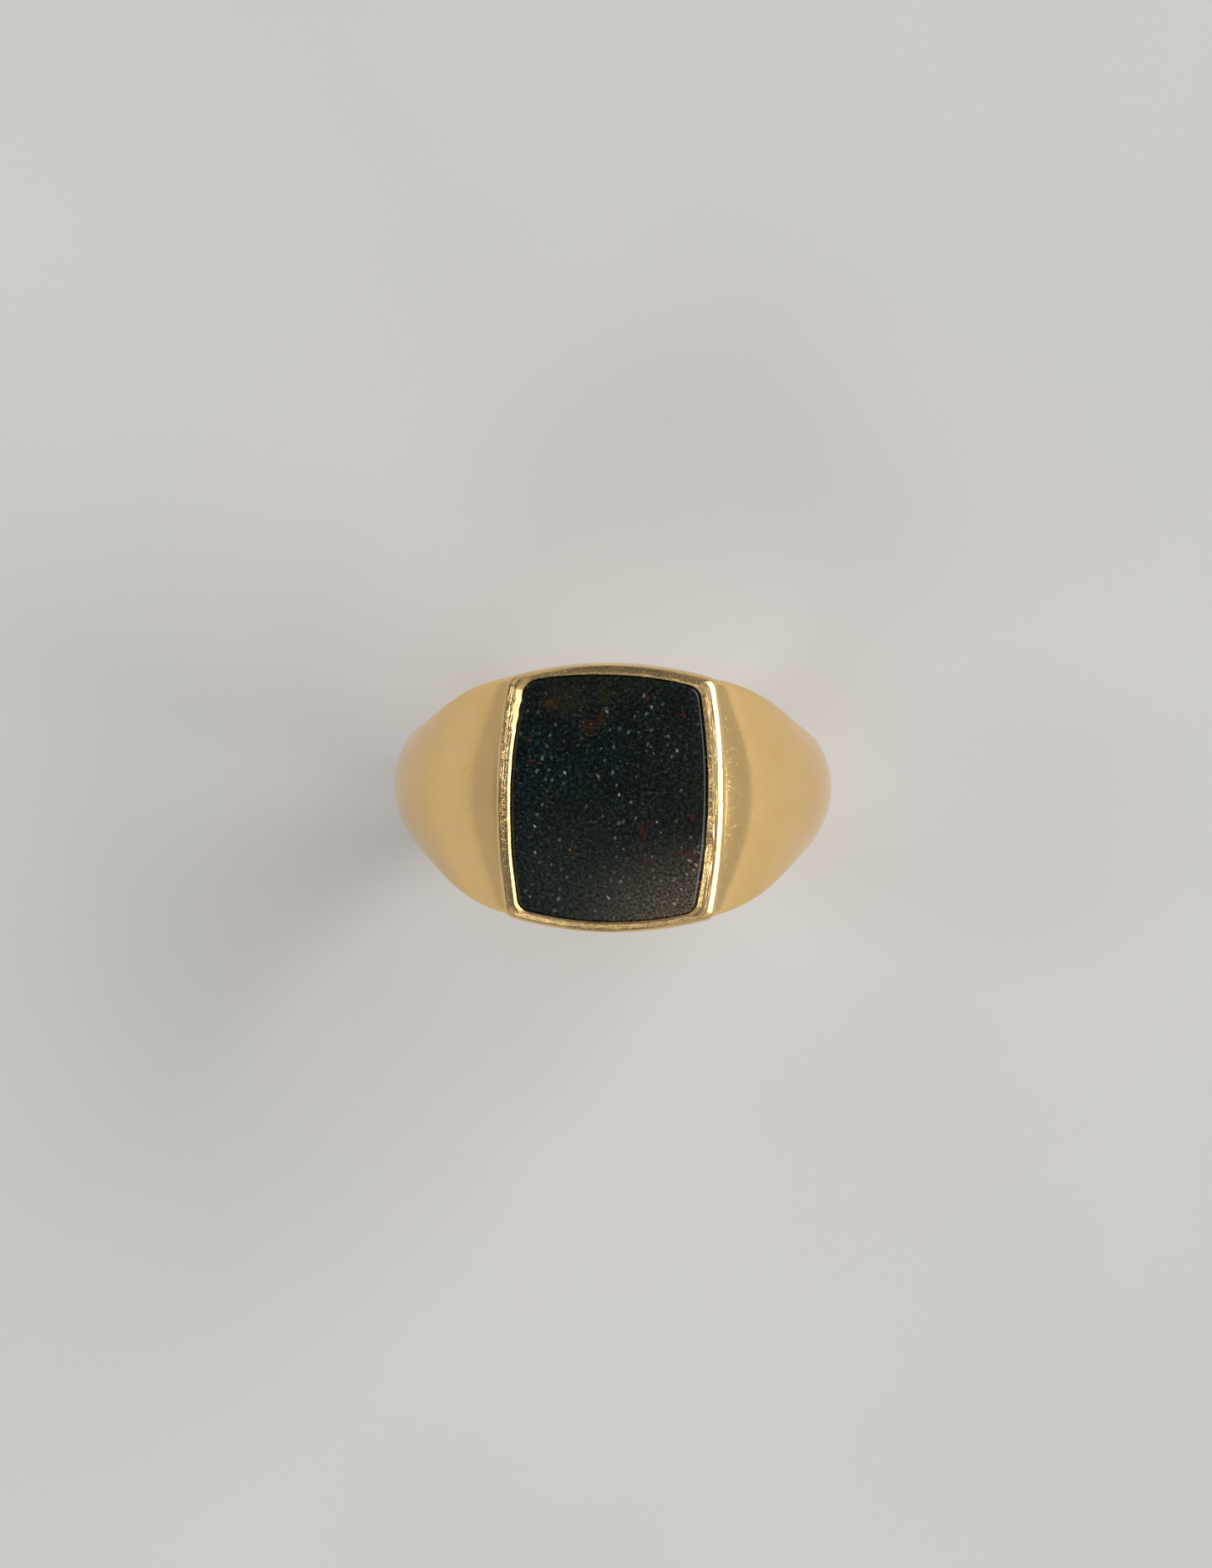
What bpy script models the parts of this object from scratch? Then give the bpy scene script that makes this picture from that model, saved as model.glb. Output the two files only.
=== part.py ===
"""Signet ring: a gold band with tapered shoulders and a bezel-set bloodstone tablet.

The pieces are the ones a goldsmith makes before soldering and setting: the hoop of the shank,
two shoulders, the saddle of the head, the stone's cup (floor, wall and bearing ledge), the bed
under the stone and the stone.

Frame: the origin is the centre of the finger hole, +Y runs along the finger, +X to the side,
and +Z up through the middle of the stone's table. Lengths are in metres, angles in degrees.
"""
import math

import bmesh
import bpy
from mathutils import Vector

MM = 0.001

# The band. Angles are measured round the finger hole from +X towards +Z.
FINGER_RADIUS = 9.60 * MM
JOINT_GAP = 0.03 * MM
SHANK_TOP_ANGLE = -20.0
SWEEP_STEP = 3.0
INNER_EDGE_ROUNDING = 0.30 * MM
OUTER_EDGE_ROUNDING = 0.28 * MM
ROUNDING_STEPS = 3
CROWN_STEPS = 4

# How the band grows from the bottom of the shank to the middle of the head, as control values at
# every CONTROL_STEP from -90. A smooth curve follows them, so the polished metal has no kinks.
CONTROL_STEP = 30.0
OUTER_RADIUS = (11.00 * MM, 11.02 * MM, 11.08 * MM, 11.16 * MM, 11.37 * MM, 12.95 * MM, 14.00 * MM)
HALF_WIDTH = (1.80 * MM, 1.85 * MM, 2.05 * MM, 2.39 * MM, 3.55 * MM, 6.10 * MM, 6.40 * MM)
EDGE_DROP = (0.42 * MM, 0.50 * MM, 0.62 * MM, 0.79 * MM, 1.22 * MM, 0.80 * MM, 0.30 * MM)
FLANK_TAPER = (0.10 * MM, 0.12 * MM, 0.15 * MM, 0.15 * MM, 0.15 * MM, 0.12 * MM, 0.10 * MM)

# The head. The stone's cup stands on the saddle, in a pocket between the shoulders.
SADDLE_HALF_LENGTH = 4.60 * MM
SADDLE_SWEEP = (50.0, 130.0)
SHOULDER_SWEEP_END = 75.0
POCKET_FLOOR = 10.55 * MM
POCKET_HEIGHT = 5.0 * MM

# Cushion outlines: half length along X and Y, how far the sides and the ends bulge, and the
# corner radius. Everything in the cup lies between the bezel's outer face, at 0, and the tip of
# its lip, at 1.
BEZEL_OUTER = (5.70 * MM, 6.68 * MM, 0.66 * MM, 0.90 * MM, 0.60 * MM)
BEZEL_LIP = (4.88 * MM, 6.14 * MM, 0.62 * MM, 0.72 * MM, 0.72 * MM)
WALL_INNER_FACE = 0.72
LOOSE_FIT = 0.77
STONE_TABLE_EDGE = 1.18
OUTER_BEVEL_END = 0.38
CREST_END = 0.78
LIP_EDGE = 0.95

# Heights in the cup, from the saddle up.
BEZEL_FOOT = POCKET_FLOOR + JOINT_GAP
FLOOR_THICKNESS = 0.33 * MM
LEDGE_BOTTOM = BEZEL_FOOT + FLOOR_THICKNESS + JOINT_GAP
LEDGE_HEIGHT = 0.30 * MM
LEDGE_WIDTH = 0.70 * MM
STONE_BOTTOM = LEDGE_BOTTOM + LEDGE_HEIGHT + JOINT_GAP
STONE_GIRDLE = 12.47 * MM
STONE_TABLE = 12.70 * MM
BEZEL_CREST = 12.85 * MM
OUTER_BEVEL_DROP = 0.32 * MM
CREST_FALL = 0.07 * MM
LIP_EDGE_DROP = 0.09 * MM
LIP_TIP_DROP = 0.20 * MM
LIP_CLEARANCE = 0.05 * MM

SIDE_STEPS = 6
CORNER_STEPS = 7
SMOOTH_ANGLE = 30.0

# Each material's colour, metallic value and roughness.
MATERIALS = {
    "gold": ((0.83, 0.61, 0.29), 1.0, 0.16),
    "bezel_gold": ((0.87, 0.67, 0.35), 1.0, 0.20),
    "bloodstone": ((0.012, 0.024, 0.024), 0.0, 0.18),
    "setting_cement": ((0.62, 0.58, 0.50), 0.0, 0.85),
}


def clear_scene():
    for item in list(bpy.data.objects):
        bpy.data.objects.remove(item, do_unlink=True)


def make_material(name, colour, metallic, roughness):
    material = bpy.data.materials.new(name)
    material.use_nodes = True
    shader = material.node_tree.nodes["Principled BSDF"]
    shader.inputs["Base Color"].default_value = (*colour, 1.0)
    shader.inputs["Metallic"].default_value = metallic
    shader.inputs["Roughness"].default_value = roughness
    material.diffuse_color = (*colour, 1.0)
    return material


def add_piece(name, solid, material):
    """Turn a bmesh into a named object, with its faces out and its creases sharp."""
    bmesh.ops.recalc_face_normals(solid, faces=solid.faces)
    mesh = bpy.data.meshes.new(name)
    solid.to_mesh(mesh)
    solid.free()
    mesh.materials.append(material)
    mesh.shade_smooth()
    mesh.set_sharp_from_angle(angle=math.radians(SMOOTH_ANGLE))
    piece = bpy.data.objects.new(name, mesh)
    bpy.context.scene.collection.objects.link(piece)
    return piece


def bridge_loops(solid, lower, upper):
    """Quads between two loops with the same number of vertices."""
    for index in range(len(lower)):
        after = (index + 1) % len(lower)
        solid.faces.new((lower[index], lower[after], upper[after], upper[index]))


# ---------------------------------------------------------------- the band


def smooth_value(controls, angle):
    """A cubic B-spline through the band's control values, mirrored at the bottom and the top."""
    if angle > 90.0:
        angle = 180.0 - angle
    if angle < -90.0:
        angle = -180.0 - angle
    padded = (controls[1], *controls, controls[-2])
    place = (angle + 90.0) / CONTROL_STEP
    index = min(int(place), len(controls) - 2)
    t = place - index
    weights = (
        (1 - t) ** 3 / 6,
        (3 * t ** 3 - 6 * t ** 2 + 4) / 6,
        (-3 * t ** 3 + 3 * t ** 2 + 3 * t + 1) / 6,
        t ** 3 / 6,
    )
    return sum(weight * value for weight, value in zip(weights, padded[index:index + 4]))


def rounded_corner(start, corner, end):
    """Points along a soft corner, from start to end."""
    points = []
    for step in range(ROUNDING_STEPS + 1):
        t = step / ROUNDING_STEPS
        points.append(start * (1 - t) ** 2 + corner * 2 * t * (1 - t) + end * t ** 2)
    return points


def band_section(angle):
    """The D section at an angle, as points of width and radius, once round."""
    outer_radius = smooth_value(OUTER_RADIUS, angle)
    half_width = smooth_value(HALF_WIDTH, angle)
    drop = smooth_value(EDGE_DROP, angle)
    inner_corner = Vector((half_width - smooth_value(FLANK_TAPER, angle), FINGER_RADIUS))
    outer_corner = Vector((half_width, outer_radius - drop))
    flank = (outer_corner - inner_corner).normalized()
    crown_edge = half_width - OUTER_EDGE_ROUNDING

    def crown_point(width):
        return Vector((width, outer_radius - drop * (width / half_width) ** 2))

    half = rounded_corner(
        inner_corner - Vector((INNER_EDGE_ROUNDING, 0.0)),
        inner_corner,
        inner_corner + flank * INNER_EDGE_ROUNDING,
    )
    half += rounded_corner(
        outer_corner - flank * OUTER_EDGE_ROUNDING, outer_corner, crown_point(crown_edge)
    )
    for step in range(1, CROWN_STEPS + 1):
        half.append(crown_point(crown_edge * (1 - step / CROWN_STEPS)))
    mirrored = [Vector((-point.x, point.y)) for point in reversed(half[:-1])]
    return half + mirrored


def sweep_band(start, end):
    """A closed solid of the band from one angle to another."""
    solid = bmesh.new()
    steps = max(1, round((end - start) / SWEEP_STEP))
    rings = []
    for step in range(steps + 1):
        angle = start + (end - start) * step / steps
        turn = math.radians(angle)
        rings.append([
            solid.verts.new((point.y * math.cos(turn), point.x, point.y * math.sin(turn)))
            for point in band_section(angle)
        ])
    for ring, following in zip(rings, rings[1:]):
        bridge_loops(solid, ring, following)
    solid.faces.new(rings[0])
    solid.faces.new(rings[-1])
    return solid


def cut_flat(solid, point, normal):
    """Cut away what lies on the normal's side of a plane, and close the cut."""
    everything = list(solid.verts) + list(solid.edges) + list(solid.faces)
    bmesh.ops.bisect_plane(
        solid, geom=everything, dist=1e-9, plane_co=point, plane_no=normal, clear_outer=True
    )
    open_edges = [edge for edge in solid.edges if edge.is_boundary]
    bmesh.ops.holes_fill(solid, edges=open_edges, sides=0)


def joint_angle():
    """The angle that half a joint's gap takes at the finger."""
    return math.degrees(JOINT_GAP / 2 / FINGER_RADIUS)


def build_shank(gold):
    solid = sweep_band(-180.0 - SHANK_TOP_ANGLE + joint_angle(), SHANK_TOP_ANGLE - joint_angle())
    return add_piece("shank", solid, gold)


def build_shoulder(name, side, gold, pocket_cutter):
    """A shoulder from the shank up to the saddle, with its part of the cup's pocket."""
    solid = sweep_band(SHANK_TOP_ANGLE + joint_angle(), SHOULDER_SWEEP_END)
    cut_flat(solid, (SADDLE_HALF_LENGTH + JOINT_GAP / 2, 0.0, 0.0), (-1.0, 0.0, 0.0))
    bmesh.ops.scale(solid, vec=(side, 1.0, 1.0), verts=solid.verts)
    shoulder = add_piece(name, solid, gold)
    pocket = shoulder.modifiers.new("cup_pocket", "BOOLEAN")
    pocket.operation = "DIFFERENCE"
    pocket.solver = "EXACT"
    pocket.object = pocket_cutter
    return shoulder


def build_head_block(gold):
    """The saddle that spans the finger between the shoulders and carries the cup."""
    solid = sweep_band(*SADDLE_SWEEP)
    half_length = SADDLE_HALF_LENGTH - JOINT_GAP / 2
    cut_flat(solid, (half_length, 0.0, 0.0), (1.0, 0.0, 0.0))
    cut_flat(solid, (-half_length, 0.0, 0.0), (-1.0, 0.0, 0.0))
    cut_flat(solid, (0.0, 0.0, POCKET_FLOOR), (0.0, 0.0, 1.0))
    return add_piece("head_block", solid, gold)


# ---------------------------------------------------------------- the cup and the stone


def corner_centre(side_centre, side_reach, end_centre, end_reach):
    """Where the corner's circle is centred: at given distances from the centres of two arcs."""
    across = end_centre - side_centre
    gap = across.length
    along = (side_reach ** 2 - end_reach ** 2 + gap ** 2) / (2 * gap)
    height = math.sqrt(side_reach ** 2 - along ** 2)
    direction = across / gap
    return side_centre + direction * along + Vector((-direction.y, direction.x)) * height


def arc_points(centre, radius, start, end, steps):
    """Points along an arc, without its last one."""
    turns = [start + (end - start) * step / steps for step in range(steps)]
    return [centre + radius * Vector((math.cos(turn), math.sin(turn))) for turn in turns]


def cushion_outline(half_x, half_y, side_bulge, end_bulge, corner):
    """Points once round a cushion shape: four shallow arcs joined by four round corners."""
    side_radius = (half_y ** 2 + side_bulge ** 2) / (2 * side_bulge)
    end_radius = (half_x ** 2 + end_bulge ** 2) / (2 * end_bulge)
    side_centre = Vector((half_x - side_radius, 0.0))
    end_centre = Vector((0.0, half_y - end_radius))
    centre = corner_centre(side_centre, side_radius - corner, end_centre, end_radius - corner)
    side_end = math.atan2(centre.y - side_centre.y, centre.x - side_centre.x)
    corner_end = math.atan2(centre.y - end_centre.y, centre.x - end_centre.x)
    quarter = arc_points(side_centre, side_radius, 0.0, side_end, SIDE_STEPS)
    quarter += arc_points(centre, corner, side_end, corner_end, CORNER_STEPS)
    quarter += arc_points(end_centre, end_radius, corner_end, math.pi / 2, SIDE_STEPS)
    top = Vector((0.0, half_y))
    upper = quarter + [top] + [Vector((-point.x, point.y)) for point in reversed(quarter[1:])]
    lower = [Vector((-point.x, -point.y)) for point in upper]
    return upper + lower


def cup_outline(across):
    """The outline a given part of the way from the bezel's outer face to the tip of its lip."""
    outer = cushion_outline(*BEZEL_OUTER)
    lip = cushion_outline(*BEZEL_LIP)
    return [start * (1 - across) + end * across for start, end in zip(outer, lip)]


def shrunk(outline, amount):
    """A cushion outline's measures, with both half lengths smaller by an amount."""
    half_x, half_y, side_bulge, end_bulge, corner = outline
    return (half_x - amount, half_y - amount, side_bulge, end_bulge, corner)


def add_loop(solid, outline, height):
    return [solid.verts.new((point.x, point.y, height)) for point in outline]


def stacked_plate(levels):
    """A closed plate through outlines at rising heights."""
    solid = bmesh.new()
    loops = [add_loop(solid, outline, height) for outline, height in levels]
    for lower, upper in zip(loops, loops[1:]):
        bridge_loops(solid, lower, upper)
    solid.faces.new(loops[0])
    solid.faces.new(loops[-1])
    return solid


def closed_ring(levels):
    """A closed ring whose section runs once round through outlines at their heights."""
    solid = bmesh.new()
    loops = [add_loop(solid, outline, height) for outline, height in levels]
    for lower, upper in zip(loops, loops[1:] + loops[:1]):
        bridge_loops(solid, lower, upper)
    return solid


def build_pocket_cutter():
    """What the shoulders leave free for the cup: the bezel's outline with a joint's gap."""
    outline = cushion_outline(*shrunk(BEZEL_OUTER, -JOINT_GAP))
    solid = stacked_plate([(outline, POCKET_FLOOR), (outline, POCKET_FLOOR + POCKET_HEIGHT)])
    bmesh.ops.recalc_face_normals(solid, faces=solid.faces)
    mesh = bpy.data.meshes.new("cup_pocket_cutter")
    solid.to_mesh(mesh)
    solid.free()
    cutter = bpy.data.objects.new("cup_pocket_cutter", mesh)
    bpy.context.scene.collection.objects.link(cutter)
    cutter.hide_render = True
    cutter.display_type = "WIRE"
    return cutter


def build_bezel_wall(gold):
    """The rim: an outer bevel, a crest that rises inwards and a lip burnished over the stone."""
    profile = (
        (0.0, BEZEL_FOOT),
        (0.0, BEZEL_CREST - OUTER_BEVEL_DROP),
        (OUTER_BEVEL_END, BEZEL_CREST - CREST_FALL),
        (CREST_END, BEZEL_CREST),
        (LIP_EDGE, BEZEL_CREST - LIP_EDGE_DROP),
        (1.0, BEZEL_CREST - LIP_TIP_DROP),
        (WALL_INNER_FACE, STONE_GIRDLE + LIP_CLEARANCE),
        (WALL_INNER_FACE, BEZEL_FOOT),
    )
    solid = closed_ring([(cup_outline(across), height) for across, height in profile])
    return add_piece("bezel_wall", solid, gold)


def build_bezel_floor(gold):
    outline = cup_outline(LOOSE_FIT)
    solid = stacked_plate([(outline, BEZEL_FOOT), (outline, BEZEL_FOOT + FLOOR_THICKNESS)])
    return add_piece("bezel_floor", solid, gold)


def ledge_opening(clearance):
    """The outline inside the bearing ledge, less a clearance."""
    half_x = BEZEL_OUTER[0] * (1 - LOOSE_FIT) + BEZEL_LIP[0] * LOOSE_FIT
    half_y = BEZEL_OUTER[1] * (1 - LOOSE_FIT) + BEZEL_LIP[1] * LOOSE_FIT
    outline = (half_x, half_y, *BEZEL_LIP[2:])
    return cushion_outline(*shrunk(outline, LEDGE_WIDTH + clearance))


def build_bearing_ledge(gold):
    outer = cup_outline(LOOSE_FIT)
    inner = ledge_opening(0.0)
    top = LEDGE_BOTTOM + LEDGE_HEIGHT
    levels = [(outer, LEDGE_BOTTOM), (outer, top), (inner, top), (inner, LEDGE_BOTTOM)]
    return add_piece("bearing_ledge", closed_ring(levels), gold)


def build_setting_bed(cement):
    outline = ledge_opening(JOINT_GAP)
    solid = stacked_plate([(outline, LEDGE_BOTTOM), (outline, LEDGE_BOTTOM + LEDGE_HEIGHT)])
    return add_piece("setting_bed", solid, cement)


def build_bloodstone(stone):
    """The tablet: straight sides up to the girdle, a narrow bevel and a flat table."""
    girdle = cup_outline(LOOSE_FIT)
    table = cup_outline(STONE_TABLE_EDGE)
    levels = [(girdle, STONE_BOTTOM), (girdle, STONE_GIRDLE), (table, STONE_TABLE)]
    return add_piece("bloodstone", stacked_plate(levels), stone)


def main():
    clear_scene()
    materials = {name: make_material(name, *values) for name, values in MATERIALS.items()}
    gold = materials["gold"]
    pocket_cutter = build_pocket_cutter()
    build_shank(gold)
    build_shoulder("shoulder_left", -1.0, gold, pocket_cutter)
    build_shoulder("shoulder_right", 1.0, gold, pocket_cutter)
    build_head_block(gold)
    build_bezel_floor(gold)
    build_bezel_wall(materials["bezel_gold"])
    build_bearing_ledge(gold)
    build_setting_bed(materials["setting_cement"])
    build_bloodstone(materials["bloodstone"])


main()
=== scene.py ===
"""Looks of the signet ring: polished yellow gold round a bevelled bloodstone tablet.

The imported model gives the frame. Each visible CAD node is replaced by a finer mesh of the same
form, whose normals come from the form itself, so the solder joints don't show in the polish.
Lengths are in millimetres until a mesh is made. The band's measures repeat the CAD's.
"""

import functools
import math

import bpy
from mathutils import Matrix, Vector, noise

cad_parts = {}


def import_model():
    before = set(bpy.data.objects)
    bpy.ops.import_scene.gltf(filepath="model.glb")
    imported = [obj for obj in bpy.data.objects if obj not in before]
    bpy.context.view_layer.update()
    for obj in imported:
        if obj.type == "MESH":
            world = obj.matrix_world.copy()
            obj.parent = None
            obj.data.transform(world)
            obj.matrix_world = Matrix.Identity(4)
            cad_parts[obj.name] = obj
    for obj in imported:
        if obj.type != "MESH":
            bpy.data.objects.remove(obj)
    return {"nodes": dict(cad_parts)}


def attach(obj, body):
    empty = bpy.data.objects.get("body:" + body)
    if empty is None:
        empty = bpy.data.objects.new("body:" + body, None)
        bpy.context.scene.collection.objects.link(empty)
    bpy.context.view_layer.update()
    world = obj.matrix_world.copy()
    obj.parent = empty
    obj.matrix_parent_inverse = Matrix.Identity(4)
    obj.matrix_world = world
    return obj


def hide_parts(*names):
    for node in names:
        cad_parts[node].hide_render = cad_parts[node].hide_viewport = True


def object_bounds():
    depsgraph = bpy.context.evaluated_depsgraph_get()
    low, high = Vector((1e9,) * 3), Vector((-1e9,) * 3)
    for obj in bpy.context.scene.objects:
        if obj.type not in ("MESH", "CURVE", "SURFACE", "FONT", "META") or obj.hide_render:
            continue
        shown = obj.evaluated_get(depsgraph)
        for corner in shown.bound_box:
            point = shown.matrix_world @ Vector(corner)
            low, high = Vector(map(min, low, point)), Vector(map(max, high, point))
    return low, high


MM = 0.001
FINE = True

# ---------------------------------------------------------------- the ring's measures

# Radii and heights in millimetres, angles in degrees round the finger from +X towards +Z.
FINGER_RADIUS = 9.60
SHANK_TOP_ANGLE = -20.0
SHOULDER_LAST_ANGLE = 80.0
SADDLE_HALF_LENGTH = 4.60
POCKET_FLOOR = 10.55
INNER_EDGE_ROUNDING = 0.30
OUTER_EDGE_ROUNDING = 0.28
SADDLE_EDGE_ROUNDING = 0.05
SADDLE_SEARCH = (50.0, 89.0)
SADDLE_CAP_DROP = 0.5

# Control values from the bottom of the shank, at -90 degrees, to the middle of the head, at 90.
CONTROL_STEP = 30.0
OUTER_RADIUS = (11.00, 11.02, 11.08, 11.16, 11.37, 12.95, 14.00)
HALF_WIDTH = (1.80, 1.85, 2.05, 2.39, 3.55, 6.10, 6.40)
EDGE_DROP = (0.42, 0.50, 0.62, 0.79, 1.22, 0.80, 0.30)
FLANK_TAPER = (0.10, 0.12, 0.15, 0.15, 0.15, 0.12, 0.10)

# Cushion outlines: half length along X and Y, bulge of the sides and of the ends, corner radius.
BEZEL_OUTER = (5.70, 6.68, 0.66, 0.90, 0.60)
BEZEL_LIP = (4.88, 6.14, 0.62, 0.72, 0.72)
BEZEL_CREST = 12.85

# The stone and the skins' hidden ends. Places across the rim run from 0 at its outer face to 1
# at the lip's tip.
LOOSE_FIT = 0.77
STONE_TABLE_EDGE = 1.18
STONE_BOTTOM = 11.27
STONE_GIRDLE = 12.47
STONE_TABLE = 12.70
STONE_EDGE_ROUNDING = 0.018
SKIN_OVERLAP = 0.30
CAP_CENTRE = (5.05, 0.0, 10.5)

# The rim's section: how far across, from 0 at the outer face to 1 at the lip's tip, the depth
# below the crest, and the corner's rounding.
RIM_SECTION = (
    (0.00, 2.27, 0.03),
    (0.00, 0.36, 0.05),
    (0.13, 0.20, 0.05),
    (0.38, 0.07, 0.04),
    (0.50, 0.047, 0.03),
    (0.75, 0.00, 0.035),
    (0.95, 0.09, 0.03),
    (1.00, 0.20, 0.02),
    (0.72, 0.33, 0.03),
    (0.72, 2.27, 0.03),
)
CREST_FALL = 0.07

# Hand work on the rim, in millimetres from its middle, seen from above. A corner is (x, y, spread)
# and a level is (y, reach). The lip lies a little off centre, turned, with one corner pulled;
# beads are pushed along it near a corner; hollows and broader places lie on the right side; and
# the whole rim wanders slowly, in two sizes of wave, above MOVING_DEPTH.
LIP_OFFSET = Vector((-0.09, -0.01))
LIP_TURN = -0.5
CORNER_PULL = Vector((0.12, 0.15))
PULLED_CORNER = (-4.0, 5.4, 4.0)
BEADED_CORNER = (-4.9, 5.0, 2.0)
BEADS_PER_MM, FIRST_BEAD = 7.6, 0.8
FLARED_CORNER = (-5.3, 5.2, 2.2)
FLARED_SIDE = (-2.6, 1.3)
DEEP_HOLLOW = (-2.7, 1.2)
SMALL_HOLLOW, SMALL_HOLLOW_SHARE = (4.6, 0.5), 0.6
WANDER_WAVES, WANDER_FINER = 1.6, 6.0
FINER_SHARE, FINER_SEED = 0.6, 7.0
LIP_SEED, CREST_SEED, CREST_SINK = 3.0, 11.0, 0.7
CREST_WANDER = 0.018
LIP_WANDER = 0.05
BEAD_DEPTH = 0.075
DENT_DEPTH = 0.05
FLARE_WIDTH = 0.18
FLARE_DROP = 0.05
MOVING_DEPTH = 0.30
INWARD_START, INWARD_REACH = 0.2, 0.5

# Which corners of the section each change touches: limits across, and the greatest depth.
BEVEL_PART = (-1.0, 0.4, 0.4)
HOLLOW_PART = (0.45, 0.6, 0.1)
LIP_START_PART = (0.65, 0.85, 0.06)
LIP_EDGE_PART = (0.9, 2.0, 0.25)
SHARP_ANGLE = 50.0
RIM_PLACE = "rim_place"

# Metal recipes: colour, shade, roughness range and strength of the fine grain.
POLISHED_GOLD = ((0.96, 0.665, 0.295), (0.90, 0.58, 0.225), (0.10, 0.18), 0.15)
WORKED_GOLD = ((0.94, 0.67, 0.32), (0.66, 0.42, 0.16), (0.12, 0.24), 0.9)
STROKE_SCALE = (0.55, 0.55, 13.0)

# The stone's ground: wide soft spots as (x, y, half size in x and y, colour, strength), and the
# place and colour of a painted sheen: a lighter brownish patch painted into the stone's colour at
# the lower right.
TEAL_BLACK = ((0.0001, 0.0024, 0.0030), (0.0012, 0.0085, 0.0088))
STONE_SHADES = (
    (-1.6, -5.2, 6.6, 5.0, (0.0170, 0.0215, 0.0185), 0.95),
    (5.4, -0.6, 4.2, 6.5, (0.0125, 0.0130, 0.0065), 0.85),
    (-1.5, 6.0, 5.0, 1.9, (0.0095, 0.0100, 0.0050), 0.80),
)
PAINTED_SHEEN_SPOT = (5.6, -7.2, 6.6, 4.6)
PAINTED_SHEEN = (0.235, 0.176, 0.122)
PALE_GRAIN = (0.032, 0.052, 0.050)
DARK_GRAIN = (0.0004, 0.0010, 0.0010)

# Where the pale grains gather, as (x, y, half size in x and y), and their layers: turn, scale,
# radius, share of the cells, strength and colour.
MAIN_GATHERING, MAIN_GATHERING_SHARE = (0.9, 2.2, 4.6, 3.0), 0.75
GATHERINGS = ((-4.4, 1.4, 2.6, 3.2), (-1.4, -3.6, 4.6, 3.4))
GRAINS_EVERYWHERE = 0.30
GRAIN_LAYERS = (
    (1.9, 4.2, 0.050, 0.55, 0.70, (0.090, 0.112, 0.107)),
    (0.4, 2.0, 0.085, 0.40, 0.80, (0.15, 0.22, 0.215)),
    (2.6, 1.5, 0.080, 0.14, 1.00, (0.42, 0.44, 0.42)),
    (1.2, 1.2, 0.080, 0.10, 0.90, (0.30, 0.115, 0.080)),
)
# Pale pinkish specks painted along the lower right edge, as the bright grains of the painted
# sheen: their spot, layer and colour.
PAINTED_SHEEN_SPECKS_SPOT = (4.3, -3.9, 1.0, 2.9)
PAINTED_SHEEN_SPECKS_LAYER = (2.1, 3.0, 0.075, 0.70)
PAINTED_SHEEN_SPECKS = (0.42, 0.29, 0.23)
GRAIN_LENGTHENING = 0.72
GRAIN_JITTER = (0.14, 0.14, 0.0)
STONE_IOR = 1.54

# Marks in the stone: (x, y, half size in x, half size in y, colour, strength), in millimetres
# from the middle of the table.
OLIVE = (0.021, 0.024, 0.0040)
OCHRE = (0.085, 0.038, 0.004)
RUSSET = (0.060, 0.024, 0.006)
JASPER_RED = (0.075, 0.015, 0.010)
ROSE = (0.33, 0.18, 0.15)
STONE_MARKS = (
    (-2.3, 4.9, 1.10, 0.85, OLIVE, 0.95),
    (-0.4, 5.0, 0.32, 1.05, OLIVE, 0.90),
    (1.2, 5.6, 0.55, 0.22, OLIVE, 0.60),
    (-3.1, 4.65, 0.32, 0.26, OCHRE, 0.85),
    (-1.2, 3.6, 0.50, 0.42, RUSSET, 0.75),
    (-0.5, 3.95, 0.22, 0.34, RUSSET, 0.95),
    (3.5, 4.2, 0.20, 0.17, JASPER_RED, 1.0),
    (1.7, 5.05, 0.20, 0.16, RUSSET, 0.9),
    (-4.1, 2.9, 0.16, 0.14, JASPER_RED, 0.9),
    (-4.0, 1.8, 0.20, 0.17, JASPER_RED, 1.0),
    (1.6, -1.6, 0.19, 0.60, JASPER_RED, 0.80),
    (1.95, -1.2, 0.28, 0.16, JASPER_RED, 0.65),
    (1.8, -3.2, 0.16, 0.22, JASPER_RED, 0.85),
    (4.1, -0.9, 0.16, 0.30, JASPER_RED, 0.85),
    (3.8, -2.7, 0.45, 0.24, JASPER_RED, 0.70),
    (-1.9, -2.7, 0.16, 0.16, RUSSET, 0.70),
    (0.40, -1.25, 0.09, 0.10, ROSE, 1.0),
    (2.15, -3.55, 0.09, 0.09, ROSE, 1.0),
    (-2.7, -5.65, 0.12, 0.10, ROSE, 1.0),
    (0.65, -0.4, 0.07, 0.09, OCHRE, 1.0),
    (4.2, -2.6, 0.08, 0.12, ROSE, 0.9),
    (0.4, 0.17, 0.07, 0.07, (0.75, 0.72, 0.62), 1.0),
)

# The studio. The surround has a base strength, a glow high on the right and a paler band above
# the horizon; reaches are the cosine of the angle to the glow's middle, and the sine of the
# elevation. Directions are (azimuth, elevation) in degrees.
BOX_DISTANCE = 3000.0
SURROUND_COLOUR = (0.97, 0.98, 1.0, 1.0)
SURROUND_STRENGTH = 0.08
GLOW_DIRECTION = (10.0, 52.0)
GLOW_REACH = (0.743, 0.978)
GLOW_STRENGTH = 0.46
HORIZON_REACH = (0.40, 0.20)
HORIZON_STRENGTH = 0.38
FLOOR_RADIUS = 1200.0
FLOOR_SPOKES = 96
FLOOR_GAP = 0.008

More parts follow.
